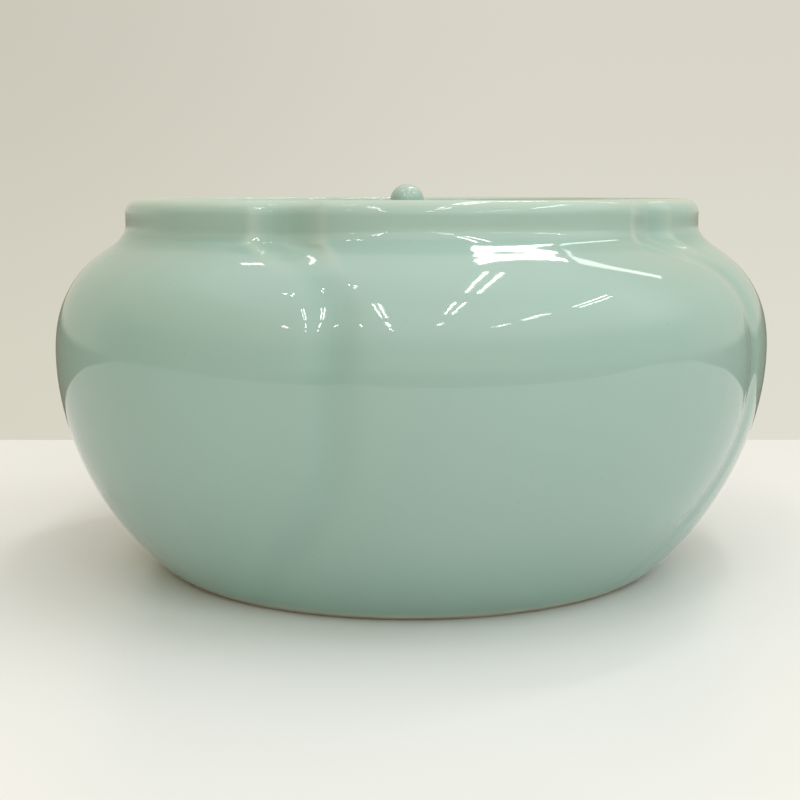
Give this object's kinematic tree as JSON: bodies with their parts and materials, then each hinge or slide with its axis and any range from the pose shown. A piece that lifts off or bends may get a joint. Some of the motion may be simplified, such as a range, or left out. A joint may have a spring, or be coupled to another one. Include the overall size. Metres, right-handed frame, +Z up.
{
  "type": "lobed lidded pot",
  "caption": "Wide, low lobed pot in pale green glazed porcelain, with an upright lobed collar, a sunk lid with a small ball knob and a bare clay foot ring, for holding water or small things.",
  "frame": {"origin": "middle of the foot, on the table, under the pot's axis", "axes": "+Z up along the pot's axis, out of its mouth; -Y to the front, where the picture was taken from; +X to the front's right"},
  "size_m": [0.2398, 0.2401, 0.1275],
  "materials": {
    "celadon_glaze": "smooth, glossy, slightly translucent pale blue-green glaze",
    "bare_clay": "unglazed, fine matt fired clay"
  },
  "bodies": {
    "pot": {"pot_body": "celadon_glaze", "collar": "celadon_glaze", "foot_ring": "bare_clay", "lid_seat": "bare_clay"},
    "lid": {"lid_plate": "celadon_glaze", "lid_locating_ring": "bare_clay", "lid_knob": "celadon_glaze"}
  },
  "joints": [
    {"name": "lid_lift", "type": "slide", "parent": "pot", "child": "lid", "axis": [0, 0, 1], "range_m": [0, 0.12]}
  ]
}
